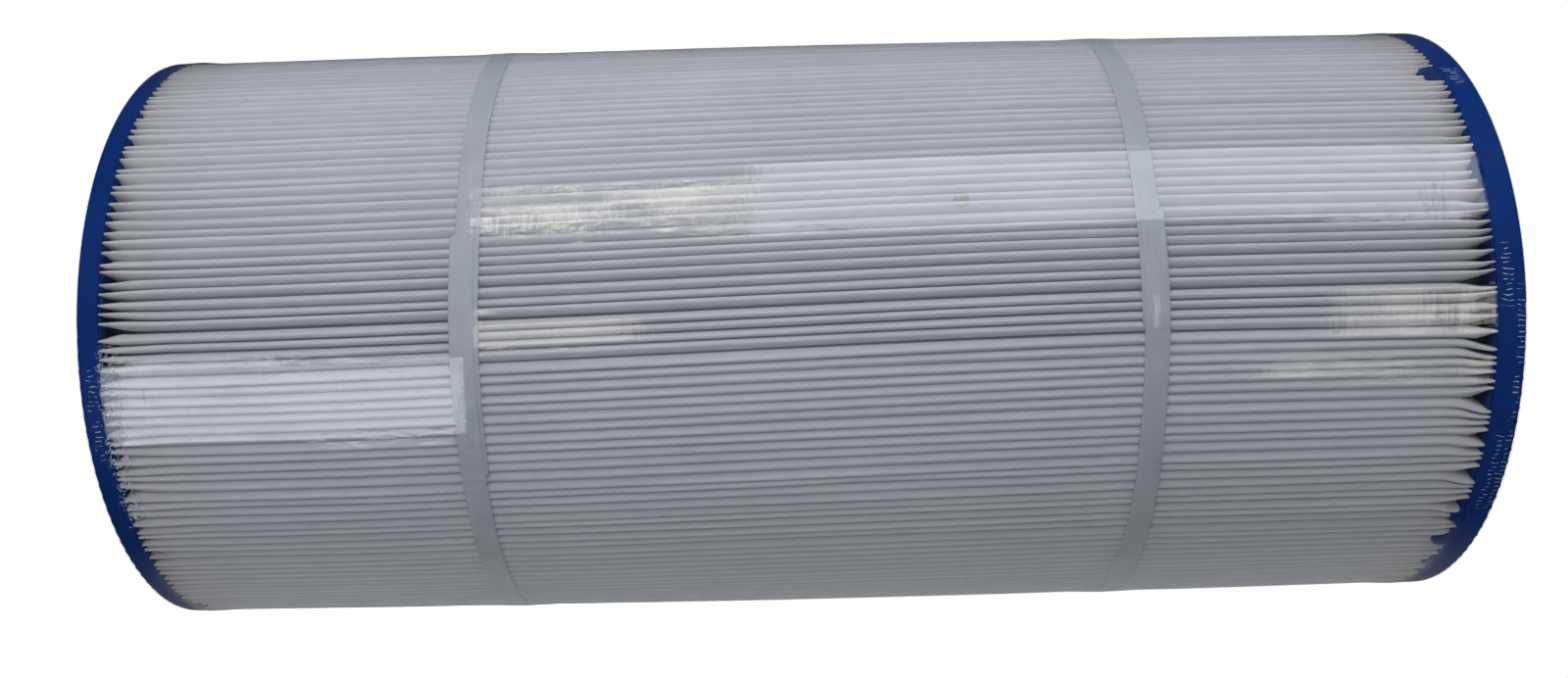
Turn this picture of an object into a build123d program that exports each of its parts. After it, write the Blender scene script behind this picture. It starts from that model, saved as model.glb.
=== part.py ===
from build123d import *

import os
from math import asin, cos, degrees, pi, radians, sin

# Pleated pool filter cartridge, shrink-wrapped, standing upright on its bottom end cap.
#
# Millimetres. +Z runs up the cartridge's own axis and the origin is the centre of its lowest plane, the
# face of the bottom cap's sealing lip. The lap joints of the two bands and the film's vent hole face -Y.
#
# The pieces, as they would come apart on a bench: two cast polyurethane end caps, a core tube plugged
# together from moulded cage sections, one strip of pleated polyester with the strip that closes its side
# seam, two bands round the pleat tips with the hot melt under each, and the clear film round it all.

# ---------------------------------------------------------------- driving dimensions

overall_length = 498.5  # 19 5/8 in, over both sealing lips
cap_radius = 113.5  # 8 15/16 in across the end caps
bore_radius = 50.8  # 4 in passage through both end caps

bottom_rim_height = 7.5  # cast depth of each cap, which shows as a plain rim
top_rim_height = 10.0
lip_height = 0.5  # the sealing lip stands this proud of the cap's face
lip_outer_radius = 61.0
rim_fillet = 1.2
bore_chamfer = 1.0

recess_inner_radius = 67.0  # shallow ring cast into each cap's outer face
recess_outer_radius = 86.0
recess_depth = 1.2
locator_count = 8  # dimples left by the mould's locating pins
locator_radius = 3.0
locator_depth = 1.8

core_outer_radius = 57.0
core_wall = 3.5
core_seat_depth = 4.0  # how far the core's ends are cast into the caps
core_section_count = 4
core_rib_count = 16
core_rib_width = 6.5
core_hoop_height = 4.0
core_row_count = 5  # rows of windows in each section
core_end_ring_height = 8.0
spigot_height = 4.0
spigot_clearance = 0.1

pleat_count = 190
pleat_tip_radius = 113.3
pleat_root_radius = 57.3
media_thickness = 0.5
tip_fold_radius = 1.45  # outside radius of the fold at each pleat tip
root_fold_radius = 0.77  # outside radius of the fold at each pleat root
seam_angle = 90.0  # the side seam is at the back, +Y
seam_strip_depth = 12.0

band_width = 8.6
band_thickness = 0.3
lower_band_height = 134.5  # middle of each band above the lowest plane
upper_band_height = 370.0
band_lap_angle = 252.0  # where each band's end laps over its start
band_lap_length = 16.0
band_lap_skew = 1.1  # the lapping end lies this far off the band's middle
adhesive_width = 4.0
adhesive_thickness = 0.15

film_thickness = 0.25
film_gap = 0.05  # between the film and the caps
film_bulge_radius = 115.0  # inside radius of the film half way up
film_opening_radius = 93.0  # the film shrinks over each end and leaves this opening
vent_radius = 2.8
vent_height = 306.0
vent_angle = 249.5
vent_punch_length = 10.0

# ---------------------------------------------------------------- worked out from them

core_inner_radius = core_outer_radius - core_wall
bottom_inner_face = lip_height + bottom_rim_height
top_inner_face = overall_length - lip_height - top_rim_height
core_start = bottom_inner_face - core_seat_depth
core_end = top_inner_face + core_seat_depth
core_section_length = (core_end - core_start) / core_section_count
pleat_pitch = 360.0 / pleat_count
adhesive_outer_radius = pleat_tip_radius + adhesive_thickness
band_outer_radius = adhesive_outer_radius + band_thickness

os.makedirs("parts", exist_ok=True)


def write(name, shape):
    """Write one sub-part to its own STEP file."""
    shape.label = name
    export_step(shape, f"parts/{name}.step")


def tube(outer, inner, bottom, top):
    """A plain ring round the Z axis, from one height to another."""
    height = top - bottom
    ring = Cylinder(outer, height) - Cylinder(inner, height)
    return Pos(0, 0, bottom + height / 2) * ring


def polar(radius, angle, height=0.0):
    """A point at a radius and an angle in degrees round the Z axis."""
    return Vector(radius * cos(radians(angle)), radius * sin(radians(angle)), height)


def across(angle, radial, tangential):
    """A point in the XY plane: radial out along the angle, and tangential square to it."""
    return polar(radial, angle) + polar(tangential, angle + 90)


# ---------------------------------------------------------------- end caps


def end_cap(rim_height):
    """One cast end cap with its sealing lip down, standing on Z = 0."""
    inner_face = lip_height + rim_height
    body = tube(cap_radius, bore_radius, lip_height, inner_face)
    body = fillet(body.edges().group_by(Axis.Z)[0].sort_by(SortBy.RADIUS)[-1], rim_fillet)
    lip = tube(lip_outer_radius, bore_radius, 0, lip_height)
    cap = body + lip
    cap = chamfer(cap.edges().group_by(Axis.Z)[0].sort_by(SortBy.RADIUS)[0], bore_chamfer)
    face_recess = tube(recess_outer_radius, recess_inner_radius, lip_height, lip_height + recess_depth)
    core_seat = tube(core_outer_radius, core_inner_radius, inner_face - core_seat_depth, inner_face)
    locator_ring = (recess_inner_radius + recess_outer_radius) / 2
    locator = Cylinder(locator_radius, locator_depth, align=(Align.CENTER, Align.CENTER, Align.MIN))
    places = PolarLocations(locator_ring, locator_count)
    locators = [Pos(0, 0, lip_height + recess_depth) * place * locator for place in places]
    return cap - face_recess - core_seat - locators


def top_end_cap():
    """The top cap is the same casting, deeper and turned over."""
    return Pos(0, 0, overall_length) * Rot(180, 0, 0) * end_cap(top_rim_height)


# ---------------------------------------------------------------- core


def core_section(index):
    """A moulded cage section: end rings, hoops and ribs, with a spigot up and a socket down."""
    bottom = core_start + index * core_section_length
    top = bottom + core_section_length
    middle_radius = core_inner_radius + core_wall / 2
    section = tube(core_outer_radius, core_inner_radius, bottom, top)

    cage_height = core_section_length - 2 * core_end_ring_height
    row_pitch = (cage_height + core_hoop_height) / core_row_count
    window_height = row_pitch - core_hoop_height
    window_width = 2 * pi * middle_radius / core_rib_count - core_rib_width
    window = Box(2 * core_wall, window_width, window_height)
    for row in range(core_row_count):
        height = bottom + core_end_ring_height + window_height / 2 + row * row_pitch
        ring = PolarLocations(middle_radius, core_rib_count)
        section -= [Pos(0, 0, height) * place * window for place in ring]

    if index > 0:
        section -= tube(middle_radius + spigot_clearance, core_inner_radius, bottom, bottom + spigot_height)
    if index < core_section_count - 1:
        section += tube(middle_radius, core_inner_radius, top, top + spigot_height - spigot_clearance)
    return section


# ---------------------------------------------------------------- pleated media


def fold(angle, centre, radius, way):
    """The half circle of one fold: way is 1 for a tip, which points out, and -1 for a root."""
    return Edge.make_three_point_arc(
        across(angle, centre, -radius),
        across(angle, centre + way * radius, 0),
        across(angle, centre, radius),
    )


def media_surface(tip_radius, root_radius):
    """The edges of one side of the strip, from its first flank round to its last."""
    tip_centre = pleat_tip_radius - tip_fold_radius
    root_centre = pleat_root_radius + root_fold_radius
    edges = []
    start = across(seam_angle, root_centre, root_radius)
    for pleat in range(pleat_count):
        tip_angle = seam_angle + (pleat + 0.5) * pleat_pitch
        tip = fold(tip_angle, tip_centre, tip_radius, 1)
        root = fold(tip_angle + pleat_pitch / 2, root_centre, root_radius, -1)
        edges += [Edge.make_line(start, tip @ 0), tip, Edge.make_line(tip @ 1, root @ 0)]
        if pleat < pleat_count - 1:
            edges.append(root)
            start = root @ 1
    return edges


def pleated_media():
    """One strip of pleated polyester, its two ends side by side at the seam."""
    outside = media_surface(tip_fold_radius, root_fold_radius - media_thickness)
    inside = media_surface(tip_fold_radius - media_thickness, root_fold_radius)
    first_end = Edge.make_line(outside[0] @ 0, inside[0] @ 0)
    last_end = Edge.make_line(outside[-1] @ 1, inside[-1] @ 1)
    section = Face(Wire([*outside, last_end, *inside, first_end]))
    height = top_inner_face - bottom_inner_face
    return Pos(0, 0, bottom_inner_face) * Solid.extrude(section, Vector(0, 0, height))


def seam_strip():
    """The hot-melt strip that fills the valley at the seam and bonds the strip's two end flanks."""
    tip_centre = pleat_tip_radius - tip_fold_radius
    root_centre = pleat_root_radius + root_fold_radius
    half_root = root_fold_radius - media_thickness
    half_pitch = radians(pleat_pitch / 2)
    far = tip_centre * cos(half_pitch) + tip_fold_radius * sin(half_pitch)
    half_far = tip_centre * sin(half_pitch) - tip_fold_radius * cos(half_pitch)
    share = seam_strip_depth / (far - root_centre)
    half_top = half_root + share * (half_far - half_root)
    corners = [
        across(seam_angle, root_centre, -half_root),
        across(seam_angle, root_centre, half_root),
        across(seam_angle, root_centre + seam_strip_depth, half_top),
        across(seam_angle, root_centre + seam_strip_depth, -half_top),
    ]
    section = Face(Wire.make_polygon(corners, close=True))
    height = top_inner_face - bottom_inner_face
    return Pos(0, 0, bottom_inner_face) * Solid.extrude(section, Vector(0, 0, height))


# ---------------------------------------------------------------- bands


def band_adhesive(height):
    """The hot melt between a band and the pleat tips."""
    half = adhesive_width / 2
    return tube(adhesive_outer_radius, pleat_tip_radius, height - half, height + half)


def arc_plate(inner, outer, width, height, angle, length):
    """A curved plate of a given length along the arc, centred on an angle and a height."""
    turn = degrees(2 * asin(length / 2 / outer))
    section = Rectangle(outer - inner, width, align=(Align.MIN, Align.CENTER))
    plate = revolve(Pos(inner, 0, height) * Rot(90, 0, 0) * section, Axis.Z, turn)
    return Rot(0, 0, angle - turn / 2) * plate


def band(height):
    """A flat strap round the pleat tips, its end lapped over its start and lying a little askew."""
    half = band_width / 2
    strap = tube(band_outer_radius, adhesive_outer_radius, height - half, height + half)
    lap = arc_plate(
        band_outer_radius,
        band_outer_radius + band_thickness,
        band_width,
        height + band_lap_skew,
        band_lap_angle,
        band_lap_length,
    )
    return strap + lap


# ---------------------------------------------------------------- film


def film_profile(offset):
    """The film's section as one open line, offset outwards from its inner surface."""
    radius = cap_radius + film_gap + offset
    low = lip_height - film_gap - offset
    high = overall_length - low
    corner = rim_fillet + film_gap + offset
    diagonal = corner * sin(radians(45))
    centre = radius - corner

    points = {
        "low edge": Vector(film_opening_radius, 0, low),
        "low face": Vector(centre, 0, low),
        "low corner": Vector(centre + diagonal, 0, low + corner - diagonal),
        "low side": Vector(radius, 0, low + corner),
        "low rim": Vector(radius, 0, bottom_inner_face),
        "middle": Vector(film_bulge_radius + offset, 0, (bottom_inner_face + top_inner_face) / 2),
        "high rim": Vector(radius, 0, top_inner_face),
        "high side": Vector(radius, 0, high - corner),
        "high corner": Vector(centre + diagonal, 0, high - corner + diagonal),
        "high face": Vector(centre, 0, high),
        "high edge": Vector(film_opening_radius, 0, high),
    }
    return [
        Edge.make_line(points["low edge"], points["low face"]),
        Edge.make_three_point_arc(points["low face"], points["low corner"], points["low side"]),
        Edge.make_line(points["low side"], points["low rim"]),
        Edge.make_three_point_arc(points["low rim"], points["middle"], points["high rim"]),
        Edge.make_line(points["high rim"], points["high side"]),
        Edge.make_three_point_arc(points["high side"], points["high corner"], points["high face"]),
        Edge.make_line(points["high face"], points["high edge"]),
    ]


def shrink_film():
    """The clear shrink sleeve: over both rims, tight round the pleats, with one punched vent hole."""
    inside = film_profile(0)
    outside = film_profile(film_thickness)
    low_edge = Edge.make_line(inside[0] @ 0, outside[0] @ 0)
    high_edge = Edge.make_line(inside[-1] @ 1, outside[-1] @ 1)
    sleeve = revolve(Face(Wire([*inside, high_edge, *outside, low_edge])), Axis.Z)
    punch = Rot(0, 90, 0) * Cylinder(vent_radius, vent_punch_length)
    return sleeve - Rot(0, 0, vent_angle) * Pos(cap_radius, 0, vent_height) * punch


# ---------------------------------------------------------------- write the sub-parts

write("bottom_end_cap", end_cap(bottom_rim_height))
write("top_end_cap", top_end_cap())
for section_index in range(core_section_count):
    write(f"core_section_{section_index + 1}", core_section(section_index))
write("pleated_media", pleated_media())
write("seam_strip", seam_strip())
write("lower_band_adhesive", band_adhesive(lower_band_height))
write("upper_band_adhesive", band_adhesive(upper_band_height))
write("lower_band", band(lower_band_height))
write("upper_band", band(upper_band_height))
write("shrink_film", shrink_film())
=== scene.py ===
"""Looks for the pleated filter cartridge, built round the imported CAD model.

Metres, +Z up the cartridge's axis. The media, bands, hot melt and film are remodelled here with the
unevenness of the real ones; the cast caps and the moulded core keep their CAD shapes.
"""

import math

import bmesh
import bpy
import numpy as np
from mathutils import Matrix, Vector


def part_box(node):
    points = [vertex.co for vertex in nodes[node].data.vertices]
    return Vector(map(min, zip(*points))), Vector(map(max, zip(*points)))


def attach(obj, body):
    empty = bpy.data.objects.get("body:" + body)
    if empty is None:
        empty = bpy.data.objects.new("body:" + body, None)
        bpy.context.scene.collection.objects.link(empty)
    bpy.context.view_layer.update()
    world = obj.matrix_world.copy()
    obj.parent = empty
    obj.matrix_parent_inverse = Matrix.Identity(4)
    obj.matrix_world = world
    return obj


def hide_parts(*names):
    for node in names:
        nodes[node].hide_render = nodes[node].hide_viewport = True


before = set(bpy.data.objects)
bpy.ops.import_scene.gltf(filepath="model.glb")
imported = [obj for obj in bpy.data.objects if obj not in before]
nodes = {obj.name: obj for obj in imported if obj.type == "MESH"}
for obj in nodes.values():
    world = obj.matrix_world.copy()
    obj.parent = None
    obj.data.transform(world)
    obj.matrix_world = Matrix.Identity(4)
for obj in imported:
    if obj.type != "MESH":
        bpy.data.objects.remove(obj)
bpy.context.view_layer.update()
rng = np.random.default_rng(7)

MM = 0.001
TAU = 2 * math.pi


# ---------------------------------------------------------------- places, read from the frame

BOTTOM_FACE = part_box("pleated_media")[0].z  # inner faces of the two caps
TOP_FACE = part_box("pleated_media")[1].z
CAP_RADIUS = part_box("bottom_end_cap")[1].y
CORE_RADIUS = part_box("core_section_1")[1].y
FILM_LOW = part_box("shrink_film")[0].z
FILM_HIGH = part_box("shrink_film")[1].z
LOWER_BAND = (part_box("lower_band_adhesive")[0].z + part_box("lower_band_adhesive")[1].z) / 2
UPPER_BAND = (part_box("upper_band_adhesive")[0].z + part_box("upper_band_adhesive")[1].z) / 2
MIDDLE = (BOTTOM_FACE + TOP_FACE) / 2
HALF_SPAN = (TOP_FACE - BOTTOM_FACE) / 2

PLEATS = 190
PITCH = TAU / PLEATS
LAP_ANGLE = math.radians(253)  # where the upper end of each strap lies, on the -Y side
VENT_ANGLE = math.radians(249.5)
VENT_HEIGHT = 0.306
VENT_RADIUS = 2.8 * MM
BULGE = 1.35 * MM  # the pleats stand this much further out half way up
TIP_RADIUS = CAP_RADIUS - 0.25 * MM
STRAP_WALL = 0.32 * MM
STRAP_INSET = 0.25 * MM  # each strap is this much narrower than its band, to each side
BAND_HALF_WIDTH = 4.5 * MM
MEDIA_THICKNESS = 0.5 * MM


# ---------------------------------------------------------------- camera

camera = bpy.data.objects.new("camera", bpy.data.cameras.new("camera"))
bpy.context.scene.collection.objects.link(camera)
camera.location = (0.00663, -0.60069, 0.24501)
camera.rotation_euler = [math.radians(a) for a in (82.4973, -88.5957, 7.5005)]
camera.data.sensor_width = 36.0
camera.data.lens = 32.66
camera.data.clip_start = 0.01
bpy.context.scene.camera = camera


# ---------------------------------------------------------------- small helpers


def smooth(t):
    """0 to 1 with soft ends, for t from 0 to 1."""
    t = np.clip(t, 0.0, 1.0)
    return t * t * (3 - 2 * t)


def near(value, centre, half, soft):
    """1 within half of centre, falling to 0 over soft."""
    return 1 - smooth((np.abs(value - centre) - half) / soft)


def bulge(z):
    """How far the pleats stand out at height z."""
    return BULGE * np.clip(1 - ((z - MIDDLE) / HALF_SPAN) ** 2, 0, 1)


def waves(count, z, amplitude, shortest, longest):
    """One slow random wave along z for each of count pleats, as an array of (z, pleat)."""
    total = np.zeros((len(z), count))
    for _ in range(3):
        length = rng.uniform(shortest, longest, count)
        phase = rng.uniform(0, TAU, count)
        height = rng.normal(0, amplitude, count)
        total += height * np.sin(TAU * z[:, None] / length + phase)
    return total


def make_object(name, points, faces, material, smooth_shade=True):
    """A mesh object from points and faces, made clean and given one material."""
    mesh = bpy.data.meshes.new(name)
    mesh.from_pydata([tuple(p) for p in points], [], faces)
    mesh.validate()
    mesh.update()
    if smooth_shade:
        mesh.polygons.foreach_set("use_smooth", [True] * len(mesh.polygons))
    thing = bpy.data.objects.new(name, mesh)
    bpy.context.scene.collection.objects.link(thing)
    mesh.materials.append(material)
    return thing


def closed_tube(outer, inner):
    """Points and quads of a closed tube wall. outer and inner are (rows, columns, 3) and wrap round.

    The inner wall may have fewer rows, as long as its first and last lie at those of the outer one.
    """
    columns = outer.shape[1]
    points = np.concatenate([outer.reshape(-1, 3), inner.reshape(-1, 3)])
    base = outer.shape[0] * columns
    faces = []
    for column in range(columns):
        step = (column + 1) % columns - column
        for row in range(outer.shape[0] - 1):
            a = row * columns + column
            faces.append((a, a + step, a + step + columns, a + columns))
        for row in range(inner.shape[0] - 1):
            a = base + row * columns + column
            faces.append((a, a + columns, a + step + columns, a + step))
        top = (outer.shape[0] - 1) * columns + column
        inner_top = base + (inner.shape[0] - 1) * columns + column
        faces.append((column, base + column, base + column + step, column + step))
        faces.append((top, top + step, inner_top + step, inner_top))
    return points, faces


def polar_points(radius, angle, z):
    """Arrays of radius, angle and height as an array of points."""
    radius, angle, z = np.broadcast_arrays(radius, angle, z)
    return np.stack([radius * np.cos(angle), radius * np.sin(angle), z], axis=-1)


# ---------------------------------------------------------------- materials


class Nodes:
    """A short way to write a material's node tree."""

    def __init__(self, name):
        self.material = bpy.data.materials.new(name)
        self.material.use_nodes = True
        self.tree = self.material.node_tree
        self.tree.nodes.clear()
        self.output = self.add("ShaderNodeOutputMaterial")

    def add(self, kind, inputs=None, **settings):
        node = self.tree.nodes.new(kind)
        for key, value in settings.items():
            setattr(node, key, value)
        for key, value in (inputs or {}).items():
            if isinstance(value, bpy.types.NodeSocket):
                self.tree.links.new(value, node.inputs[key])
            else:
                node.inputs[key].default_value = value
        return node

    def position(self):
        return self.add("ShaderNodeTexCoord").outputs["Object"]

    def stretched(self, scale):
        """The object's own coordinates, scaled along X, Y and Z."""
        return self.add("ShaderNodeMapping", {"Vector": self.position(), "Scale": scale}).outputs[0]

    def noise(self, scale, detail=4.0, roughness=0.55, vector=None, distortion=0.0):
        inputs = {"Scale": scale, "Detail": detail, "Roughness": roughness, "Distortion": distortion}
        if vector is not None:
            inputs["Vector"] = vector
        else:
            inputs["Vector"] = self.position()
        return self.add("ShaderNodeTexNoise", inputs).outputs["Fac"]

    def ramp(self, value, stops):
        node = self.add("ShaderNodeValToRGB", {"Fac": value})
        elements = node.color_ramp.elements
        elements[0].position, elements[0].color = stops[0][0], (*stops[0][1], 1)
        elements[1].position, elements[1].color = stops[-1][0], (*stops[-1][1], 1)
        for place, colour in stops[1:-1]:
            elements.new(place).color = (*colour, 1)
        return node.outputs["Color"]

    def span(self, value, low, high, to_low=0.0, to_high=1.0):
        inputs = {"Value": value, "From Min": low, "From Max": high, "To Min": to_low, "To Max": to_high}
        return self.add("ShaderNodeMapRange", inputs).outputs[0]

    def maths(self, operation, a, b=0.0):
        return self.add("ShaderNodeMath", {0: a, 1: b}, operation=operation).outputs[0]

    def mix(self, factor, a, b):
        node = self.add("ShaderNodeMix", {"Factor": factor}, data_type="RGBA")
        for socket, value in (("A", a), ("B", b)):
            place = [s for s in node.inputs if s.name == socket and s.type == "RGBA"][0]
            if isinstance(value, bpy.types.NodeSocket):
                self.tree.links.new(value, place)
            else:
                place.default_value = (*value, 1)
        return [s for s in node.outputs if s.type == "RGBA"][0]

    def bump(self, height, strength, distance, normal=None):
        inputs = {"Height": height, "Strength": strength, "Distance": distance}
        if normal is not None:
            inputs["Normal"] = normal
        return self.add("ShaderNodeBump", inputs).outputs[0]

    def finish(self, shader):
        self.tree.links.new(shader, self.output.inputs["Surface"])
        return self.material


def media_material():
    """Point-bonded polyester: pale, matte, faintly streaked along the pleats, with a fine emboss, and lighter
    at the crests: partly whiter pressed folds, partly a painted highlight.
    """
    n = Nodes("pleated_polyester")
    cloud = n.noise(18.0, 5.0, 0.6)
    streak = n.noise(1.0, 3.0, 0.5, n.stretched((900.0, 900.0, 14.0)))
    fibre = n.noise(2600.0, 3.0, 0.7)
    tone = n.ramp(cloud, [(0.35, (0.76, 0.76, 0.775)), (0.65, (0.82, 0.82, 0.835))])
    tone = n.mix(n.span(streak, 0.35, 0.7, 0.0, 0.35), tone, (0.72, 0.72, 0.735))
    tone = n.mix(n.span(fibre, 0.4, 0.8, 0.0, 0.22), tone, (0.90, 0.90, 0.91))
    x, y, height = n.add("ShaderNodeSeparateXYZ", {"Vector": n.position()}).outputs
    radius = n.maths("SQRT", n.maths("ADD", n.maths("MULTIPLY", x, x), n.maths("MULTIPLY", y, y)))
    along = n.maths("DIVIDE", n.maths("SUBTRACT", height, MIDDLE), HALF_SPAN)
    stands_out = n.maths("MULTIPLY", n.maths("SUBTRACT", 1.0, n.maths("MULTIPLY", along, along)), BULGE)
    below_crest = n.maths("SUBTRACT", n.maths("ADD", stands_out, TIP_RADIUS), radius)
    # colour made lighter towards the crest tips: partly the whiter pressed fold, partly a painted highlight
    # along the crest lines
    tone = n.mix(n.span(below_crest, 0.05 * MM, 0.45 * MM, 0.75, 0.0), tone, (0.95, 0.95, 0.96))
    dots = n.add("ShaderNodeTexVoronoi", {"Vector": n.position(), "Scale": 1250.0}, feature="F1")
    emboss = n.bump(n.span(dots.outputs["Distance"], 0.0, 0.5), 0.25, 0.00012)
    felt = n.bump(fibre, 0.35, 0.00010, emboss)
    felt = n.bump(streak, 0.3, 0.00025, felt)
    rough = n.span(cloud, 0.3, 0.7, 0.78, 0.92)
    shader = n.add("ShaderNodeBsdfPrincipled", {
        "Base Color": tone, "Roughness": rough, "Normal": felt, "Sheen Weight": 0.12,
        "Sheen Roughness": 0.5, "Specular IOR Level": 0.25,
    })
    glow = n.add("ShaderNodeBsdfTranslucent", {"Color": tone, "Normal": felt})
    sheet = n.add("ShaderNodeMixShader", {0: 0.2, 1: shader.outputs[0], 2: glow.outputs[0]})
    return n.finish(sheet.outputs[0])


def cap_material():
    """Cast polyurethane, deep blue, with flow marks, tiny bubbles and a satin skin."""
    n = Nodes("cast_polyurethane")
    flow = n.noise(14.0, 4.0, 0.6, distortion=1.2)
    speck = n.noise(900.0, 2.0, 0.5)
    tone = n.ramp(flow, [(0.3, (0.002, 0.030, 0.185)), (0.7, (0.003, 0.042, 0.235))])
    tone = n.mix(n.span(speck, 0.62, 0.75, 0.0, 0.5), tone, (0.008, 0.062, 0.28))
    skin = n.bump(flow, 0.35, 0.0006)
    skin = n.bump(speck, 0.3, 0.00008, skin)
    rough = n.span(flow, 0.3, 0.7, 0.34, 0.5)
    shader = n.add("ShaderNodeBsdfPrincipled", {
        "Base Color": tone, "Roughness": rough, "Normal": skin, "Specular IOR Level": 0.2,
    })
    return n.finish(shader.outputs[0])


def core_material():
    """Moulded ABS, off-white, with a fine spark-eroded texture and faint flow lines."""
    n = Nodes("moulded_core")
    cloud = n.noise(25.0, 4.0, 0.6)
    grain = n.noise(1800.0, 2.0, 0.6)
    tone = n.ramp(cloud, [(0.3, (0.72, 0.72, 0.70)), (0.7, (0.80, 0.80, 0.78))])
    skin = n.bump(grain, 0.3, 0.00008)
    rough = n.span(grain, 0.3, 0.7, 0.38, 0.52)
    shader = n.add("ShaderNodeBsdfPrincipled", {"Base Color": tone, "Roughness": rough, "Normal": skin})
    return n.finish(shader.outputs[0])


def band_material():
    """Translucent strap of parallel filaments in a milky binder."""
    n = Nodes("strap")
    cloud = n.noise(60.0, 4.0, 0.6)
    thread = n.noise(1.0, 2.0, 0.5, n.stretched((60.0, 60.0, 2600.0)))
    tone = n.ramp(cloud, [(0.3, (0.52, 0.545, 0.56)), (0.7, (0.605, 0.63, 0.645))])
    tone = n.mix(n.span(thread, 0.4, 0.7, 0.0, 0.4), tone, (0.68, 0.70, 0.715))
    skin = n.bump(thread, 0.35, 0.00015)
    rough = n.span(cloud, 0.3, 0.7, 0.42, 0.6)
    shader = n.add("ShaderNodeBsdfPrincipled", {
        "Base Color": tone, "Roughness": rough, "Normal": skin, "Alpha": 0.86,
    })
    return n.finish(shader.outputs[0])


def hot_melt_material():
    """Milky hot melt, glossy and faintly yellow, with slow lumps."""
    n = Nodes("hot_melt")
    cloud = n.noise(300.0, 3.0, 0.5)
    tone = n.ramp(cloud, [(0.3, (0.60, 0.59, 0.53)), (0.7, (0.72, 0.71, 0.66))])
    skin = n.bump(cloud, 0.4, 0.0003)
    shader = n.add("ShaderNodeBsdfPrincipled", {
        "Base Color": tone, "Roughness": n.span(cloud, 0.3, 0.7, 0.22, 0.4), "Normal": skin,
    })
    return n.finish(shader.outputs[0])


def film_material():
    """Clear shrink film: nearly all see-through, with fine hoop wrinkles, and wrinkles at the rims whose
    glints are painted on as white patches.
    """
    n = Nodes("clear_film")
    x, y, height = n.add("ShaderNodeSeparateXYZ", {"Vector": n.position()}).outputs
    turn = n.maths("ARCTAN2", y, x)
    soft = n.noise(45.0, 3.0, 0.5, n.stretched((1.0, 1.0, 0.35)))
    hoops = n.noise(1.0, 3.0, 0.55, n.stretched((90.0, 90.0, 620.0)))
    dimples = n.noise(1.0, 2.0, 0.5, n.stretched((300.0, 300.0, 110.0)))
    skin = n.bump(soft, 0.25, 0.0006)
    skin = n.bump(hoops, 0.8, 0.00003, skin)
    skin = n.bump(dimples, 0.8, 0.00009, skin)

    waver = n.noise(260.0, 2.0, 0.5)
    phase = n.maths("ADD", n.maths("MULTIPLY", turn, TAU * CAP_RADIUS / TICK_PITCH),
                    n.maths("MULTIPLY", waver, 9.0))
    # ticks: rows of small glints on the gathered film, painted in as white patches further down
    ticks = n.span(n.maths("SINE", phase), 0.90, 0.985)
    ticks = n.maths("MULTIPLY", ticks, n.span(n.noise(330.0, 1.0, 0.5), 0.40, 0.50))
    level_line = n.maths("ABSOLUTE", n.maths("SUBTRACT", n.noise(480.0, 2.0, 0.5), 0.5))
    curls = n.span(level_line, 0.030, 0.010)
    sway = n.span(waver, 0.3, 0.7, -0.0012, 0.0012)
    wrinkle_and_glint = None
    for kind, centre, reach, middle, half in PAINTED_GLINT_WRINKLES:
        here = n.span(n.maths("ABSOLUTE", n.maths("SUBTRACT", turn, centre)), reach, reach * 0.8)
        off = n.maths("ABSOLUTE", n.maths("ADD", n.maths("SUBTRACT", height, middle), sway))
        patch = n.maths("MULTIPLY", here, n.span(off, half, half * 0.7))
        patch = n.maths("MULTIPLY", patch, ticks if kind == "ticks" else curls)
        wrinkle_and_glint = patch if wrinkle_and_glint is None else n.maths("MAXIMUM", wrinkle_and_glint, patch)
    skin = n.bump(wrinkle_and_glint, 0.6, 0.0002, skin)

    gloss = n.add("ShaderNodeBsdfGlossy", {"Color": (1, 1, 1, 1), "Roughness": 0.045, "Normal": skin})
    clear = n.add("ShaderNodeBsdfTransparent", {"Color": (0.97, 0.975, 0.985, 1)})
    facing = n.add("ShaderNodeLayerWeight", {"Blend": 0.5, "Normal": skin}).outputs["Facing"]
    mirror = n.span(n.maths("POWER", facing, 5.0), 0.0, 1.0, 0.09, 1.0)
    from_middle = n.maths("ABSOLUTE", n.maths("SUBTRACT", height, MIDDLE))
    mirror = n.maths("MULTIPLY", mirror, n.span(from_middle, HALF_SPAN - 0.002, HALF_SPAN + 0.002, 1.0, 0.2))
    shader = n.add("ShaderNodeMixShader", {0: mirror, 1: clear.outputs[0], 2: gloss.outputs[0]})
    # a white diffuse share: a faint milky haze over the film, plus painted highlights for the glints on the
    # wrinkled patches
    haze_and_glint = n.add("ShaderNodeBsdfDiffuse", {"Color": (0.72, 0.80, 0.92, 1)})
    haze = n.maths("ADD", n.maths("MULTIPLY", n.maths("POWER", facing, 3.0), 0.2), 0.06)
    haze = n.maths("MULTIPLY", haze, n.span(from_middle, HALF_SPAN - 0.005, HALF_SPAN - 0.030))
    share = n.maths("MAXIMUM", n.maths("MULTIPLY", wrinkle_and_glint, 0.55), haze)
    glinted_film = n.add("ShaderNodeMixShader", {0: share, 1: shader.outputs[0], 2: haze_and_glint.outputs[0]})
    return n.finish(glinted_film.outputs[0])


def floor_material():
    """A white floor that the camera sees a little brighter than it lights the object."""
    n = Nodes("studio_floor")
    shade = n.add("ShaderNodeBsdfDiffuse", {"Color": (0.9, 0.9, 0.9, 1)}).outputs[0]
    seen = n.add("ShaderNodeLightPath").outputs["Is Camera Ray"]
    glow = n.add("ShaderNodeEmission", {"Strength": n.maths("MULTIPLY", seen, 0.9)}).outputs[0]
    return n.finish(n.add("ShaderNodeAddShader", {0: shade, 1: glow}).outputs[0])
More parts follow.
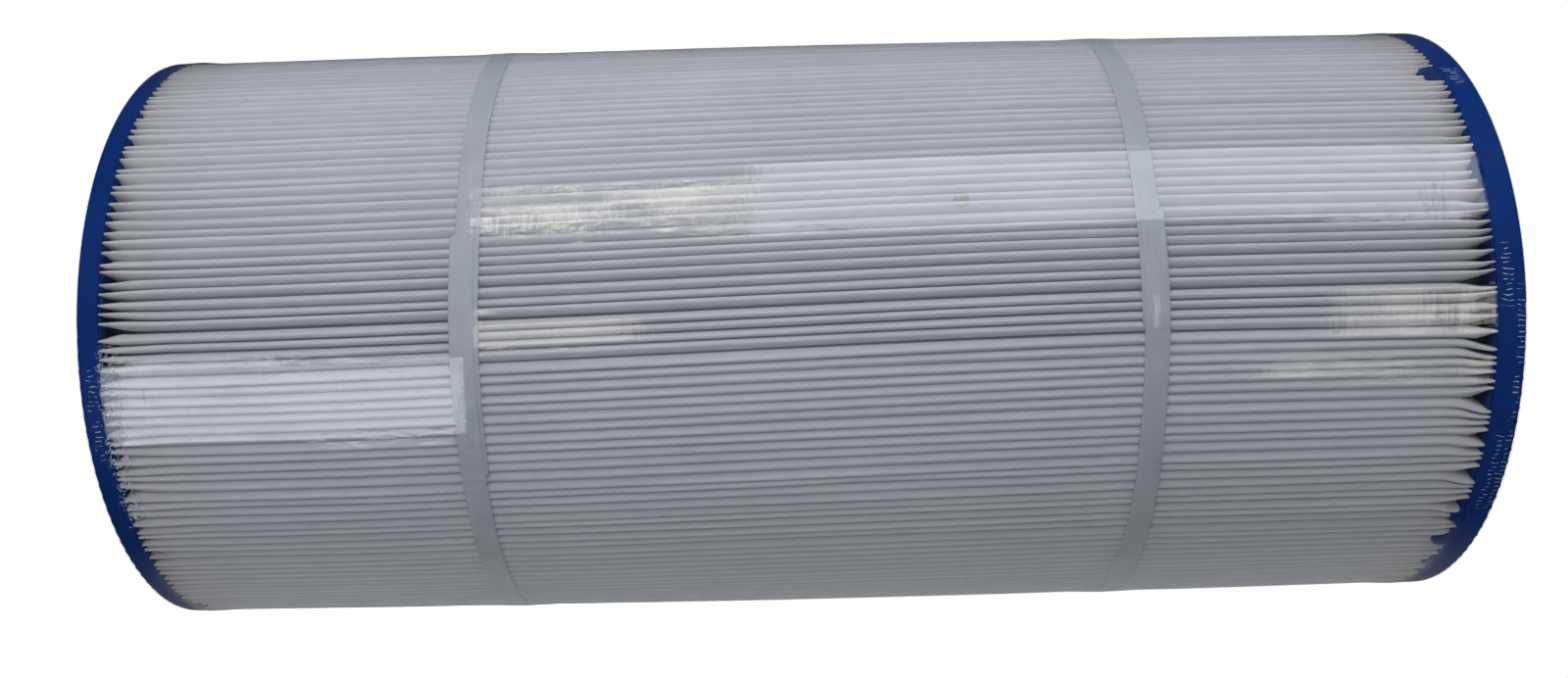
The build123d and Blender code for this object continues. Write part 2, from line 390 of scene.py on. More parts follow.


# Where the film is wrinkled and its glints are painted white: the kind, the middle and reach round the axis,
# then the height and half of how tall it is.
TICK_PITCH = 1.8 * MM
PAINTED_GLINT_WRINKLES = [
    ("ticks", math.radians(-71), math.radians(23), 0.4957, 0.0012),
    ("ticks", math.radians(-58), math.radians(9), 0.4922, 0.0010),
    ("ticks", math.radians(-95), math.radians(6), 0.4915, 0.0018),
    ("ticks", math.radians(-138), math.radians(3), 0.4925, 0.0030),
    ("curls", math.radians(-70), math.radians(19), 0.0106, 0.0034),
    ("ticks", math.radians(-76), math.radians(9), 0.0050, 0.0016),
    ("ticks", math.radians(-76), math.radians(17), LOWER_BAND - 0.0012, 0.0007),
    ("ticks", math.radians(-73), math.radians(12), LOWER_BAND + 0.0012, 0.0006),
    ("ticks", math.radians(20), math.radians(30), 0.0060, 0.0030),
    ("ticks", math.radians(110), math.radians(35), 0.4950, 0.0016),
]

MEDIA = media_material()
CAP = cap_material()
CORE = core_material()
BAND = band_material()
HOT_MELT = hot_melt_material()
FILM = film_material()


# ---------------------------------------------------------------- pleated media

# Heights of the rows of points, closer together where the pleats taper or are strapped.
TAPER_STEPS = np.array([-0.3, 1.5, 4.0, 7.0, 10.5, 15.0, 21.0, 30.0, 55.0, 85.0]) * MM
BAND_STEPS = np.array([-14.0, -5.5, 0.0, 5.5, 14.0]) * MM
MEDIA_ROWS = np.concatenate([
    BOTTOM_FACE + TAPER_STEPS,
    LOWER_BAND + BAND_STEPS,
    np.linspace(LOWER_BAND + 0.04, UPPER_BAND - 0.04, 6),
    UPPER_BAND + BAND_STEPS,
    TOP_FACE - TAPER_STEPS[::-1],
])
SKIPPED_INSIDE = (1, 3, 5, 7, 11, 13, 16, 18, 22, 24, 28, 29, 32, 34)  # rows left out of the hidden skin


def partings(index):
    """How far each pleat is pushed aside by the few valleys that gape, in pleat pitches."""
    push = np.zeros(len(index))
    for valley, share in ((138.5, 0.12), (141.5, 0.22), (145.5, 0.15), (121.5, 0.10)):
        away = index - valley
        push += np.sign(away) * share * np.exp(-np.abs(away) / 2.5)
    return push


def gathers(index, first, sizes, strength):
    """Runs of pleats that close up at a cap, each leaving a notch before its first pleat, in pitches."""
    shift = np.zeros(len(index))
    for size in sizes:
        for place in range(size):
            shift[(first + place) % len(index)] = strength * (1 - place / (size - 1)) ** 2
        first += size
    return shift


def valley_gaps():
    """Half the gap at the bottom of each valley's mouth: wider on the -Y side."""
    index = np.arange(PLEATS)
    away = (index * PITCH - math.radians(-93) + math.pi) % TAU - math.pi
    gap = 0.05 + 0.17 * np.exp(-(away / math.radians(11)) ** 2) + np.abs(rng.normal(0, 0.03, PLEATS))
    for valley, extra in ((139, 0.18), (142, 0.35), (146, 0.22), (122, 0.15)):
        gap[valley] += extra
    return gap * MM


def openness():
    """How deep the mouths between the crests are: 1 where they gape, on the -Y side, little elsewhere."""
    index = np.arange(PLEATS)
    away = (index * PITCH - math.radians(-96) + math.pi) % TAU - math.pi
    opened = 0.08 + 0.92 * np.exp(-(away / math.radians(11)) ** 2) + rng.normal(0, 0.05, PLEATS)
    return np.clip(opened, 0.0, 1.0)


def spread_out(place):
    """Pleat places in pitches, row by row, with no two closer than half a pitch."""
    gaps = np.diff(place, axis=1, append=place[:, :1] + PLEATS)
    gaps = np.maximum(gaps, 0.5)
    gaps *= PLEATS / gaps.sum(axis=1, keepdims=True)
    spread = np.cumsum(gaps, axis=1) - gaps
    return spread + (place - spread).mean(axis=1, keepdims=True)


def pleat_layout(z):
    """Crest angle, crest radius, fullness and lean of every pleat at every height."""
    rows = len(z)
    index = np.arange(PLEATS)
    place = index + np.clip(rng.normal(0, 0.10, PLEATS), -0.22, 0.22) + partings(index)
    drift = waves(PLEATS, z, 0.03, 0.25, 0.7)
    low_cap = 1 - smooth((z - BOTTOM_FACE) / 0.024)
    high_cap = 1 - smooth((TOP_FACE - z) / 0.014)
    pinned_low = np.clip(rng.normal(0, 0.13, PLEATS), -0.3, 0.3)
    pinned_low += gathers(index, 150, (4, 5, 3, 4, 6, 4, 5), 0.35)
    pinned_high = np.clip(rng.normal(0, 0.12, PLEATS), -0.25, 0.25)
    pinned_high += gathers(index, 147, (6, 4, 4, 4, 5, 5), 0.85)
    pinned_high += gathers(index, 178, (3, 4, 5, 4, 3, 5, 6, 4, 3, 5), 0.6)
    place = place + drift + low_cap[:, None] * pinned_low + high_cap[:, None] * pinned_high
    angle = spread_out(place)
    share = (z - BOTTOM_FACE) / (TOP_FACE - BOTTOM_FACE)
    twist = -math.radians(3.5) * smooth(share * 1.2) + math.radians(1.5)
    angle = angle * PITCH + twist[:, None]

    strapped = np.maximum(near(z, LOWER_BAND, 0.0045, 0.02), near(z, UPPER_BAND, 0.0045, 0.02))
    uneven = rng.normal(0, 0.07, PLEATS) * MM + waves(PLEATS, z, 0.05 * MM, 0.08, 0.3)
    radius = TIP_RADIUS + bulge(z)[:, None] + uneven * (1 - 0.7 * strapped)[:, None]
    radius -= (0.25 * MM * strapped)[:, None]

    low_taper = rng.uniform(0.006, 0.013, PLEATS)
    high_taper = rng.uniform(0.006, 0.016, PLEATS)
    open_low = smooth((z[:, None] - BOTTOM_FACE + 0.001) / low_taper)
    open_high = smooth((TOP_FACE + 0.001 - z[:, None]) / high_taper)
    fullness = open_low * open_high * (0.94 + waves(PLEATS, z, 0.03, 0.1, 0.4))
    fullness = np.clip(fullness, 0.0, 1.0)
    lean = np.broadcast_to(rng.normal(0, 0.12, PLEATS), (rows, PLEATS)) + waves(PLEATS, z, 0.05, 0.15, 0.5)
    return angle, radius, fullness, lean * MM


CREST_ANGLE, CREST_RADIUS, FULLNESS, LEAN = pleat_layout(MEDIA_ROWS)
VALLEY_GAPS = valley_gaps()
OPENNESS = openness()


def between(values, wrap):
    """The mean of each pleat's value and the one before it. wrap is what a full turn adds."""
    before = np.roll(values, 1, axis=1)
    before[:, 0] -= wrap
    return (values + before) / 2


def media_skin(inset):
    """One skin of the folded strip, as (rows, points round, 3). inset is how far it lies inside the folds."""
    angle, radius, full, lean = CREST_ANGLE, CREST_RADIUS, FULLNESS, LEAN
    valley = between(angle, TAU)
    following = np.roll(valley, -1, axis=1)
    following[:, -1] += TAU
    left = (angle - valley) * radius  # room on each side of the crest, along the arc
    right = (following - angle) * radius
    root = CORE_RADIUS + 0.9 * MM - inset
    middle = 84 * MM
    belly = radius - (1.35 + 2.15 * OPENNESS) * MM
    shoulder = radius - (0.29 + 0.50 * OPENNESS) * MM - inset
    columns = [(valley, root, 0 * lean)]

    def offset(amount, at):
        return amount / at

    thin = 0.58 * MM
    gap_left, gap_right = VALLEY_GAPS, np.roll(VALLEY_GAPS, -1)
    wide_left = np.minimum(thin + full * (left - gap_left - thin), left - 0.05 * MM)
    wide_right = np.minimum(thin + full * (right - gap_right - thin), right - 0.05 * MM)
    share = middle / radius
    mid_left = np.minimum(wide_left, left * share - 0.15 * MM)
    mid_right = np.minimum(wide_right, right * share - 0.15 * MM)
    neck = (0.42 + (0.34 + 0.28 * OPENNESS) * full) * MM
    neck_left = np.maximum(np.minimum(neck, 0.9 * wide_left) - inset, 0.04 * MM)
    neck_right = np.maximum(np.minimum(neck, 0.9 * wide_right) - inset, 0.04 * MM)
    columns.append((angle - offset(mid_left - inset, middle), middle + 0 * radius, 0 * lean))
    columns.append((angle - offset(wide_left - inset, belly), belly, 0.3 * lean))
    columns.append((angle - offset(neck_left, shoulder), shoulder, 0.8 * lean))
    columns.append((angle, radius - inset * 1.1, lean))
    columns.append((angle + offset(neck_right, shoulder), shoulder, 0.8 * lean))
    columns.append((angle + offset(wide_right - inset, belly), belly, 0.3 * lean))
    columns.append((angle + offset(mid_right - inset, middle), middle + 0 * radius, 0 * lean))
    points = [polar_points(r, a + shift / CAP_RADIUS, MEDIA_ROWS[:, None]) for a, r, shift in columns]
    return np.stack(points, axis=2).reshape(len(MEDIA_ROWS), -1, 3)


def build_media():
    inside = np.delete(media_skin(MEDIA_THICKNESS), SKIPPED_INSIDE, axis=0)
    points, faces = closed_tube(media_skin(0.0), inside)
    media = make_object("pleated_media_folds", points, faces, MEDIA)
    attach(media, "root")
    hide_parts("pleated_media")
    return media


# ---------------------------------------------------------------- the taut skin over the crests


def taut(angle, radius):
    """The crests that a skin pulled tight over one ring of them touches, in order: its convex hull."""
    count = len(angle)
    x, y = radius * np.cos(angle), radius * np.sin(angle)
    start = int(np.argmax(radius))
    order = [(start + i) % count for i in range(count + 1)]
    hull = []
    for i in order:
        while len(hull) >= 2:
            a, b = hull[-2], hull[-1]
            turn = (x[b] - x[a]) * (y[i] - y[a]) - (y[b] - y[a]) * (x[i] - x[a])
            if turn > 0:
                break
            hull.pop()
        hull.append(i)
    return hull


def skin_radius(hull, angle, radius, at):
    """The radius of the taut skin at any angles."""
    corner_angle = np.unwrap(angle[hull])
    corner_angle[-1] = corner_angle[0] + TAU
    corner_radius = radius[hull]
    wrapped = (at - corner_angle[0]) % TAU + corner_angle[0]
    segment = np.clip(np.searchsorted(corner_angle, wrapped, side="right") - 1, 0, len(hull) - 2)
    a0, a1 = corner_angle[segment], corner_angle[segment + 1]
    r0, r1 = corner_radius[segment], corner_radius[segment + 1]
    # a straight chord from (r0, a0) to (r1, a1), in polar form
    return r0 * r1 * np.sin(a1 - a0) / (r0 * np.sin(wrapped - a0) + r1 * np.sin(a1 - wrapped))


def crest_place(row):
    """Angle and radius of the very tips in one row, lean included."""
    return CREST_ANGLE[row] + LEAN[row] / CAP_RADIUS, CREST_RADIUS[row]


HULLS = [taut(*crest_place(row)) for row in range(len(MEDIA_ROWS))]


def skin_at(row, at):
    return skin_radius(HULLS[row], *crest_place(row), at)


# ---------------------------------------------------------------- potting

# Lumps of cast polyurethane wicked up between the pleats: angle in degrees, half width and height in mm.
LOW_LUMPS = [(-170, 5, 4), (-20, 4, 5), (60, 6, 4), (130, 4, 6)]
HIGH_LUMPS = [(-139.5, 4.4, 8.0), (-114.5, 5.2, 3.4), (-47, 3.4, 4.5), (-40, 4.2, 6.5), (-31, 3.4, 4.5),
              (40, 5, 5), (95, 4, 6)]


def lump_shape(lumps, angle):
    """Height of the lumps at each angle, and how far they swell out, from 0 to 1."""
    climb, swell = np.zeros(len(angle)), np.zeros(len(angle))
    for place, half_width, height in lumps:
        away = (angle - math.radians(place) + math.pi) % TAU - math.pi
        shape = np.sqrt(np.clip(1 - (away * CAP_RADIUS / (half_width * MM)) ** 2, 0, 1))
        climb = np.maximum(climb, height * MM * shape)
        swell = np.maximum(swell, smooth(shape * 2.0))
    return climb, swell


def build_potting(name, face, inward, lumps):
    """Cast polyurethane that has wicked a little way up between the pleats at one cap."""
    angle = np.linspace(0, TAU, 1100, endpoint=False)
    climb = np.full(len(angle), 0.5 * MM)
    for _ in range(24):
        count, phase = rng.integers(20, 190), rng.uniform(0, TAU)
        climb += 0.10 * MM * np.sin(count * angle + phase)
    climb = np.clip(climb, 0.15 * MM, 1.4 * MM)
    lump, swell = lump_shape(lumps, angle)
    climb = np.maximum(climb, lump * (1 + 0.06 * np.sin(angle * 260)))
    outside = TIP_RADIUS - 0.9 * MM + swell * 1.35 * MM
    profile = [(-0.2, 90 * MM + 0 * angle), (0.15, 90 * MM + 0 * angle), (0.95, outside - 1.6 * MM),
               (1.0, outside - 0.8 * MM), (0.95, outside - 0.3 * MM), (0.8, outside - 0.06 * MM),
               (0.4, outside), (-0.2, outside)]
    rings = [polar_points(radius, angle, face + inward * (climb * share)) for share, radius in profile]
    loop = np.stack(rings, axis=1)
    around = loop.shape[1]
    faces = []
    for i in range(len(angle)):
        step = ((i + 1) % len(angle) - i) * around
        for j in range(around):
            a, b = i * around + j, i * around + (j + 1) % around
            faces.append((a, b, b + step, a + step) if inward > 0 else (a, a + step, b + step, b))
    potting = make_object(name, loop.reshape(-1, 3), faces, CAP)
    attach(potting, "root")


# ---------------------------------------------------------------- shrink film

FILM_CLEARANCE = 0.08 * MM
FILM_WALL = 0.05 * MM
CREST_SPREAD = 0.3 * MM  # the film bends over a crest within this much to each side
OPENING_RADIUS = 93 * MM
CORNER = 1.3 * MM
CORNER_TURNS = (0.0, 30.0, 60.0, 90.0)  # the film's rows round each corner, by how far it has turned
END_SHARES = (1.0, 0.8, 0.55, 0.3, 0.1)  # its rows on each end face, from the opening outward
RIM_CLEARANCE = 0.09 * MM  # between the film and a cap's rim
CHORD_REACH = 0.16 * MM  # added between the corner's ends, so that its chords clear the cap's rounded rim
RIM_DRAFT = 0.25 * MM  # the film stands this much further out at the inner edge of a cap's rim
LOWER_LAP = 88 * MM  # how far each strap's end laps over its start
UPPER_LAP = 38 * MM
STRAP_LIFT = 0.55  # how far the film is lifted off the tips at a single strap and at a lap, in mm
LAP_LIFT = 0.9


def film_columns(row):
    """Angles of the film's columns in one row: three to a pleat, on the crest and to each side of it."""
    angle, _ = crest_place(row)
    spread = CREST_SPREAD / CAP_RADIUS
    return np.stack([angle - spread, angle, angle + spread], axis=1).reshape(-1)


def over_lap(angle, z):
    """How far the film is lifted over the doubled strap at each lap, from 0 to 1."""
    lifted = np.zeros(len(angle))
    for centre, overlap in ((LOWER_BAND, LOWER_LAP), (UPPER_BAND, UPPER_LAP)):
        half = overlap / CAP_RADIUS / 2
        away = np.abs((angle - LAP_ANGLE - half + math.pi) % TAU - math.pi)
        beside = 1 - smooth((away - half - 0.04) / 0.03)
        lifted = np.maximum(lifted, beside * near(z, centre, 0.0055, 0.003))
    return lifted


def film_rows():
    """The film from the edge of its lower opening to the edge of its upper one: (radius, angle, z) rows."""
    count = PLEATS * 3
    rows = []
    slow = [(rng.integers(3, 14), rng.uniform(0, TAU), rng.uniform(0.4, 1.0)) for _ in range(6)]

    def pucker(angle, strength, seed):
        """Radial gathers, as a height for each column."""
        total = np.zeros(count)
        local = np.random.default_rng(seed)
        for _ in range(7):
            total += local.uniform(0.2, 1) * np.sin(local.integers(14, 70) * angle + local.uniform(0, TAU))
        return strength * total / 2.2

    def edge(angle):
        return sum(h * np.sin(n * angle + p) for n, p, h in slow) * 0.7 * MM

    for end in (0, 1):
        row = 0 if end == 0 else len(MEDIA_ROWS) - 1
        angle = film_columns(row)
        face = FILM_LOW + 0.25 * MM if end == 0 else FILM_HIGH - 0.25 * MM
        outward = -1 if end == 0 else 1
        gather = (0.1 if end == 0 else 0.5) * MM
        turned = []
        for share in END_SHARES:
            radius = CAP_RADIUS - CORNER - share * (CAP_RADIUS - CORNER - OPENING_RADIUS)
            radius = radius + share * edge(angle + end)
            lift = np.clip(np.abs(pucker(angle, gather * (0.35 + share), 40 + end)), 0, 1.6 * gather)
            turned.append((radius, angle, face + outward * lift * share ** 0.5))
        for turn in CORNER_TURNS:
            a = math.radians(turn)
            reach = CORNER + (CHORD_REACH if 0 < turn < 90 else 0)
            radius = CAP_RADIUS - CORNER + (reach + RIM_CLEARANCE) * math.sin(a)
            height = face - outward * (CORNER - reach * math.cos(a))
            ripple = pucker(angle, 0.05 * MM, 50 + end)
            turned.append((radius + np.abs(ripple), angle, np.full(count, height)))
        rim = BOTTOM_FACE if end == 0 else TOP_FACE
        side = face - outward * CORNER
        for share in (0.35, 0.7):
            ripple = pucker(angle, 0.04 * MM, 60 + end)
            radius = CAP_RADIUS + RIM_CLEARANCE + share * RIM_DRAFT + np.abs(ripple)
            turned.append((radius, angle, np.full(count, side + share * (rim - side))))
        rows.append(turned)

    middle = []
    for row, z in enumerate(MEDIA_ROWS):
        angle = film_columns(row)
        radius = skin_at(row, angle) + FILM_CLEARANCE
        strap = max(near(z, LOWER_BAND, 0.0045, 0.003), near(z, UPPER_BAND, 0.0045, 0.003))
        radius = radius + np.maximum(strap * STRAP_LIFT, over_lap(angle, z) * LAP_LIFT) * MM
        from_cap = min(abs(z - BOTTOM_FACE), abs(TOP_FACE - z))
        edge_radius = CAP_RADIUS + RIM_CLEARANCE + RIM_DRAFT
        radius = np.maximum(radius, radius + (edge_radius - radius) * (1 - smooth(from_cap / 0.013)))
        for face, lumps in ((BOTTOM_FACE, LOW_LUMPS), (TOP_FACE, HIGH_LUMPS)):
            climb, swell = lump_shape(lumps, angle)
            over = smooth((climb + 1.5 * MM - abs(z - face)) / (1.5 * MM)) * swell
            radius = np.maximum(radius, over * (TIP_RADIUS + 0.6 * MM))
        middle.append((radius, angle, np.full(count, z)))
    for height in (VENT_HEIGHT - 5 * MM, VENT_HEIGHT + 5 * MM):
        after = next(i for i, row in enumerate(middle) if row[2][0] > height)
        below, above = middle[after - 1], middle[after]
        share = (height - below[2][0]) / (above[2][0] - below[2][0])
        middle.insert(after, tuple((1 - share) * a + share * b for a, b in zip(below, above)))
    return rows[0] + middle + rows[1][::-1]


def punch_vent(film):
    """Cuts the round vent through both skins of the film and closes the wall of the hole."""
    work = bmesh.new()
    work.from_mesh(film.data)
    radial = Vector((math.cos(VENT_ANGLE), math.sin(VENT_ANGLE), 0))
    sideways = Vector((-radial.y, radial.x, 0))
    centre = radial * CAP_RADIUS + Vector((0, 0, VENT_HEIGHT))
    reach = 3 * VENT_RADIUS

    def offset(point):
        """How far a point lies from the vent's axis, sideways and up, if it is on the vent's side."""
        away = point - centre
        return away.dot(sideways), away.z

    def close(face, limit):
        x, z = offset(face.calc_center_median())
        return abs(x) < limit and abs(z) < limit and face.calc_center_median().dot(radial) > 0

    sides = 28
    for side in range(sides):
        turn = TAU * side / sides
        outward = sideways * math.cos(turn) + Vector((0, 0, math.sin(turn)))
        faces = [f for f in work.faces if close(f, reach)]
        around = {e for f in faces for e in f.edges} | {v for f in faces for v in f.verts}
        bmesh.ops.bisect_plane(work, geom=faces + list(around), dist=1e-7,
                               plane_co=centre + outward * VENT_RADIUS, plane_no=outward)
    inside = [f for f in work.faces if close(f, reach)
              and math.hypot(*offset(f.calc_center_median())) < VENT_RADIUS * 0.999]
    bmesh.ops.delete(work, geom=inside, context="FACES")
    rim = [e for e in work.edges if e.is_boundary]
    bmesh.ops.bridge_loops(work, edges=rim)
    work.to_mesh(film.data)
    work.free()


def build_film():
    rows = film_rows()
    turned = [0.0] * len(END_SHARES) + list(CORNER_TURNS)
    turned += [90.0] * (len(rows) - 2 * len(turned)) + turned[::-1]
    skins = []
    for side in (FILM_WALL / 2, -FILM_WALL / 2):
        skin = []
        for number, (radius, angle, z) in enumerate(rows):
            a = math.radians(turned[number])
            outward = -1 if number < len(rows) / 2 else 1
            skin.append(polar_points(radius + side * math.sin(a), angle, z + side * math.cos(a) * outward))
        skins.append(np.stack(skin))
    points, faces = closed_tube(*skins)
    film = make_object("shrink_film_sleeve", points, faces, FILM)
    punch_vent(film)
    film.visible_shadow = False
    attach(film, "root")
    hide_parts("shrink_film")
    return film


# ---------------------------------------------------------------- bands


def band_row(centre):
    """The media row at a band's middle."""
    return int(np.argmin(np.abs(MEDIA_ROWS - centre)))


def build_band(node, centre, melt_node, overlap, askew):
    """A strap round the crests whose end laps over its start, a little askew, and the hot melt under it."""
    row = band_row(centre)
    columns = PLEATS * 4
    overlap = overlap / CAP_RADIUS
    turn = TAU + overlap
    total = int(columns * turn / TAU)
    along = np.linspace(0, turn, total)
    angle = LAP_ANGLE + turn - along  # its end, at the lap angle, lies on top
    base = skin_at(row, angle)
    wall = STRAP_WALL
    over = smooth((along - TAU + 0.03) / 0.03) * (wall + 0.05 * MM)
    under = 0.12 * MM
    shift = askew * smooth((along - TAU + 0.9) / (0.9 + overlap))
    wander = 0.35 * MM * np.sin(along * 2 + centre * 90) + 0.15 * MM * np.sin(along * 9 + 1)
    half = BAND_HALF_WIDTH - STRAP_INSET
    end = smooth((along - turn + 0.06) / 0.06)  # the end is cut at a slant and pressed thin
    across = np.array([-1.0, -0.93, -0.5, 0.0, 0.5, 0.93, 1.0])
    thick = np.array([0.55, 1.0, 0.9, 0.86, 0.9, 1.0, 0.55])
    outer, inner = [], []
    for place, height in zip(across, thick):
        fray = rng.normal(0, 0.05 * MM, total) if abs(place) == 1 else 0.0
        z = centre + shift + wander + place * half + fray
        cut = angle - 0.02 * place * end
        outer.append(polar_points(base + under + over + wall * height * (1 - 0.6 * end), cut, z))
        inner.append(polar_points(base + under + over, cut, z))
    loop = np.stack(outer + inner[::-1], axis=1)
    around = loop.shape[1]
    points = loop.reshape(-1, 3)
    faces = []
    for i in range(total - 1):
        for j in range(around):
            a, b = i * around + j, i * around + (j + 1) % around
            faces.append((a, a + around, b + around, b))
    faces.append(tuple(range(around)))
    faces.append(tuple((total - 1) * around + j for j in range(around))[::-1])
    band = make_object(node + "_strap", points, faces, BAND)
    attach(band, "root")
    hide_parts(node)

    bead_faces, bead_points = [], []
    tips, _ = crest_place(row)
    for tip in tips:
        length = rng.uniform(3.4, 4.9) * MM
        radius = float(skin_at(row, np.array([tip]))[0])
        start = len(bead_points)
        rings, spokes = 5, 8
        for ring in range(rings + 1):
            share = ring / rings
            z = centre + (share - 0.5) * 2 * length
            size = 0.75 * MM * math.sin(math.pi * min(max(share, 0.06), 0.94))
            for spoke in range(spokes):
                a = TAU * spoke / spokes
                place = tip + size * math.cos(a) / radius
                bead_points.append(((radius - 0.35 * MM + 0.6 * size * math.sin(a)) * math.cos(place),
                                    (radius - 0.35 * MM + 0.6 * size * math.sin(a)) * math.sin(place), z))
        for ring in range(rings):
            for spoke in range(spokes):
                a = start + ring * spokes + spoke
                b = start + ring * spokes + (spoke + 1) % spokes
                bead_faces.append((a, b, b + spokes, a + spokes))
        bead_faces.append(tuple(start + s for s in range(spokes))[::-1])
        bead_faces.append(tuple(start + rings * spokes + s for s in range(spokes)))
    beads = make_object(melt_node + "_beads", bead_points, bead_faces, HOT_MELT)
    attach(beads, "root")
    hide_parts(melt_node)


# ---------------------------------------------------------------- seam


def build_seam():
    """The hot-melt strip in the valley at the back, following the pleats' own twist."""
    k = int(round((math.pi / 2 % TAU) / PITCH))
    rows = []
    for row, z in enumerate(MEDIA_ROWS[1:-1], start=1):
        valley = (CREST_ANGLE[row, k] + CREST_ANGLE[row, k - 1]) / 2
        ring = []
        for radius, half in ((CORE_RADIUS + 1.0 * MM, 0.12 * MM), (70 * MM, 0.14 * MM)):
            ring.append((radius, valley - half / radius))
        for radius, half in ((70 * MM, 0.14 * MM), (CORE_RADIUS + 1.0 * MM, 0.12 * MM)):
            ring.append((radius, valley + half / radius))
        rows.append([(r * math.cos(a), r * math.sin(a), z) for r, a in ring])
    points = np.array(rows).reshape(-1, 3)
    faces = []
    for i in range(len(rows) - 1):
        for j in range(4):
            a, b = i * 4 + j, i * 4 + (j + 1) % 4
            faces.append((a, a + 4, b + 4, b))
    faces.append((0, 1, 2, 3))
    last = (len(rows) - 1) * 4
    faces.append((last + 3, last + 2, last + 1, last))
    seam = make_object("seam_strip_melt", points, faces, HOT_MELT, smooth_shade=False)
    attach(seam, "root")
    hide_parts("seam_strip")


# ---------------------------------------------------------------- build


def finish_cad_nodes():
    """Procedural materials for the CAD nodes that are shown as they are."""
    for name, thing in nodes.items():
        if "end_cap" in name:
            thing.data.materials.clear()
            thing.data.materials.append(CAP)
        elif "core_section" in name:
            thing.data.materials.clear()
            thing.data.materials.append(CORE)


finish_cad_nodes()
build_media()
build_film()
build_band("lower_band", LOWER_BAND, "lower_band_adhesive", LOWER_LAP, -1.7 * MM)
build_band("upper_band", UPPER_BAND, "upper_band_adhesive", UPPER_LAP, 1.1 * MM)
build_seam()
build_potting("bottom_cap_potting", BOTTOM_FACE, 1, LOW_LUMPS)
build_potting("top_cap_potting", TOP_FACE, -1, HIGH_LUMPS)


# ---------------------------------------------------------------- studio


def build_floor():
    size = 3.0
    floor = make_object("floor", [(-size, -size, 0), (size, -size, 0), (size, size, 0), (-size, size, 0)],
                        [(0, 1, 2, 3)], floor_material(), smooth_shade=False)
    floor.visible_glossy = False


def area_light(name, place, aim, width, height, power, colour):
    data = bpy.data.lights.new(name, "AREA")
    data.shape = "RECTANGLE"
    data.size, data.size_y = width, height
    data.energy = power
    data.color = colour
    lamp = bpy.data.objects.new(name, data)
    bpy.context.scene.collection.objects.link(lamp)
    lamp.location = place
    lamp.rotation_euler = (Vector(aim) - Vector(place)).to_track_quat("-Z", "Y").to_euler()
    lamp.visible_glossy = False
    return lamp


def reflector(name, azimuth, low, high, colour, strength, broken=0.0, soft=0.5):
    """A bright card on a 1.2 m cylinder round the object, seen only in the film's gloss.

    broken is how much of it is dimmed by blotches, like a window with leaves outside. soft is over how
    many degrees it fades in from its first azimuth.
    """
    n = Nodes(name)
    blotch = n.noise(1.0, 3.0, 0.6, n.stretched((7.0, 7.0, 40.0)))
    level = n.span(blotch, 0.47, 0.55, strength * (1 - broken), strength)
    x, y, _ = n.add("ShaderNodeSeparateXYZ", {"Vector": n.position()}).outputs
    start = math.radians(azimuth[0])
    fade = n.span(n.maths("ARCTAN2", y, x), start, start + math.radians(soft))
    level = n.maths("MULTIPLY", level, fade)
    glow = n.add("ShaderNodeEmission", {"Color": (*colour, 1), "Strength": level})
    material = n.finish(glow.outputs[0])
    material.cycles.emission_sampling = "NONE"
    steps = 12
    angles = [math.radians(azimuth[0] + (azimuth[1] - azimuth[0]) * i / steps) for i in range(steps + 1)]
    points = [(1.2 * math.cos(a), 1.2 * math.sin(a), z) for z in (low, high) for a in angles]
    faces = [(i, i + 1, steps + 2 + i, steps + 1 + i) for i in range(steps)]
    card = make_object(name, points, faces, material, smooth_shade=False)
    card.visible_camera = False
    card.visible_diffuse = False
    card.visible_shadow = False
    card.visible_transmission = False


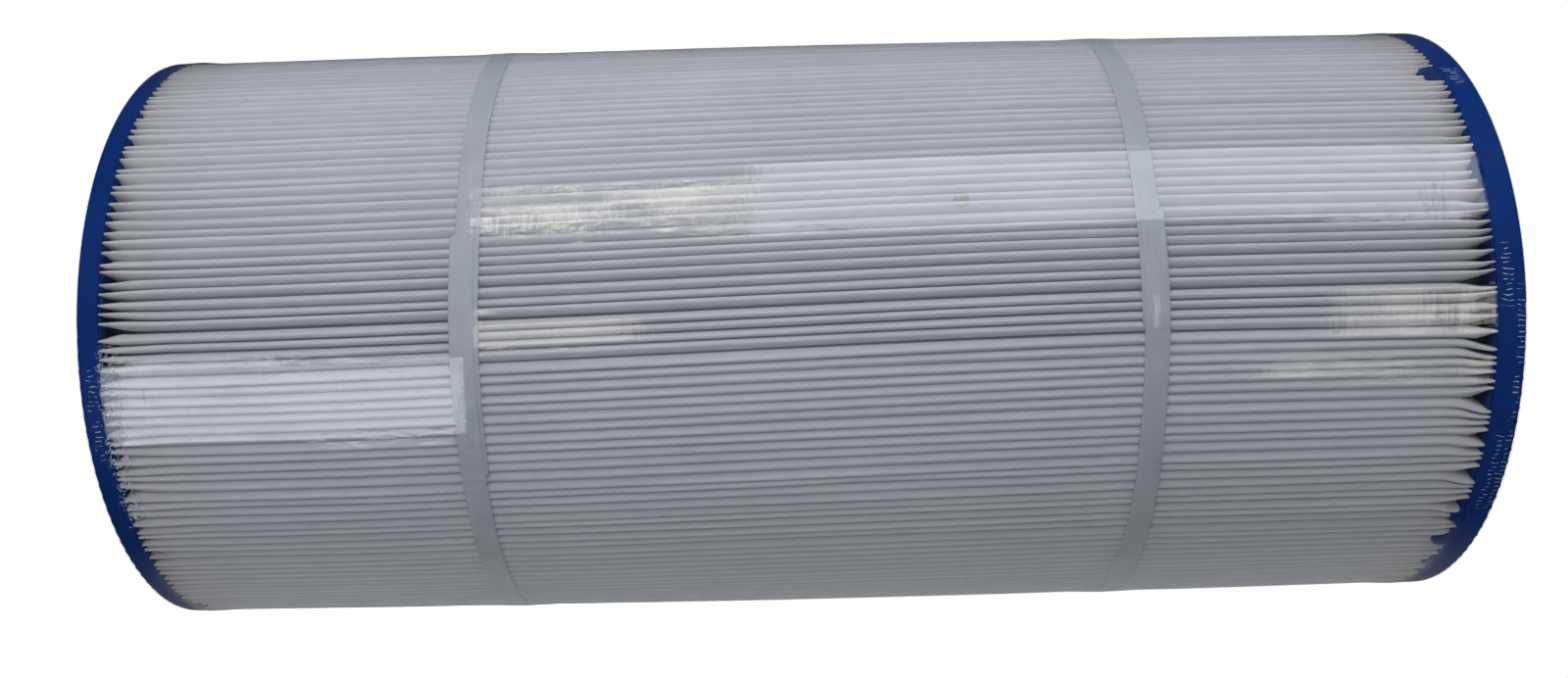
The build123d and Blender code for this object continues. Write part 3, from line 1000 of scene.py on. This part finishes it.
def build_world():
    world = bpy.data.worlds.new("studio")
    bpy.context.scene.world = world
    world.use_nodes = True
    tree = world.node_tree
    tree.nodes.clear()
    path = tree.nodes.new("ShaderNodeLightPath")
    seen = tree.nodes.new("ShaderNodeBackground")
    seen.inputs["Color"].default_value = (1, 1, 1, 1)
    lit = tree.nodes.new("ShaderNodeBackground")
    lit.inputs["Color"].default_value = (0.98, 0.99, 1.0, 1)
    lit.inputs["Strength"].default_value = 0.182
    mirrored = tree.nodes.new("ShaderNodeBackground")
    mirrored.inputs["Color"].default_value = (0.9, 0.95, 1.0, 1)
    mirrored.inputs["Strength"].default_value = 0.02
    gloss = tree.nodes.new("ShaderNodeMixShader")
    tree.links.new(path.outputs["Is Glossy Ray"], gloss.inputs[0])
    tree.links.new(lit.outputs[0], gloss.inputs[1])
    tree.links.new(mirrored.outputs[0], gloss.inputs[2])
    blend = tree.nodes.new("ShaderNodeMixShader")
    output = tree.nodes.new("ShaderNodeOutputWorld")
    tree.links.new(path.outputs["Is Camera Ray"], blend.inputs[0])
    tree.links.new(gloss.outputs[0], blend.inputs[1])
    tree.links.new(seen.outputs[0], blend.inputs[2])
    tree.links.new(blend.outputs[0], output.inputs["Surface"])


build_world()
build_floor()
area_light("key", (-1.02, -1.06, 0.08), (0, 0, 0.2), 2.2, 1.6, 24.0, (0.985, 0.99, 1.0))
area_light("fill", (-0.12, -0.48, 0.05), (0, -0.1, 0.07), 0.25, 0.25, 0.38, (0.99, 0.99, 1.0))
area_light("low", (1.22, 0.44, 0.12), (0, 0, 0.2), 0.9, 0.7, 4.2, (1.0, 0.985, 0.96))
area_light("back", (0.3, 1.4, 1.0), (0, 0, 0.25), 1.2, 1.2, 9, (1.0, 1.0, 1.0))

WARM = (1.0, 0.93, 0.80)
COOL = (0.86, 0.92, 1.0)
reflector("window_warm", (-144, -125), -0.104, 0.209, WARM, 2.3, broken=0.95)
reflector("window_cool", (-154, -125), 0.209, 1.01, COOL, 1.3, broken=0.2)
reflector("window_hot", (-145, -132), 0.517, 0.582, (1, 1, 1), 1.2, broken=0.3)
reflector("window_low", (-79, -51), -0.522, -0.160, COOL, 1.65, broken=0.3)
reflector("lamp_near", (-95, -84), -0.062, 0.067, WARM, 1.7, broken=0.5)
reflector("lamp_far", (-98, -82), 0.883, 1.008, WARM, 1.55, broken=0.7)
reflector("lamp_strip", (-71, -64), 0.786, 0.963, WARM, 1.15, broken=0.6)
reflector("ground", (-4, 85), -1.0, 1.4, (1.0, 0.99, 0.97), 0.24, broken=0.15, soft=30)
reflector("sky", (100, 176), -1.0, 1.4, (0.97, 0.98, 1.0), 0.06, broken=0.2)
reflector("lamp_slot", (-98, -79), 0.665, 0.689, WARM, 1.6, broken=0.3)

bpy.context.scene.view_settings.view_transform = "Standard"
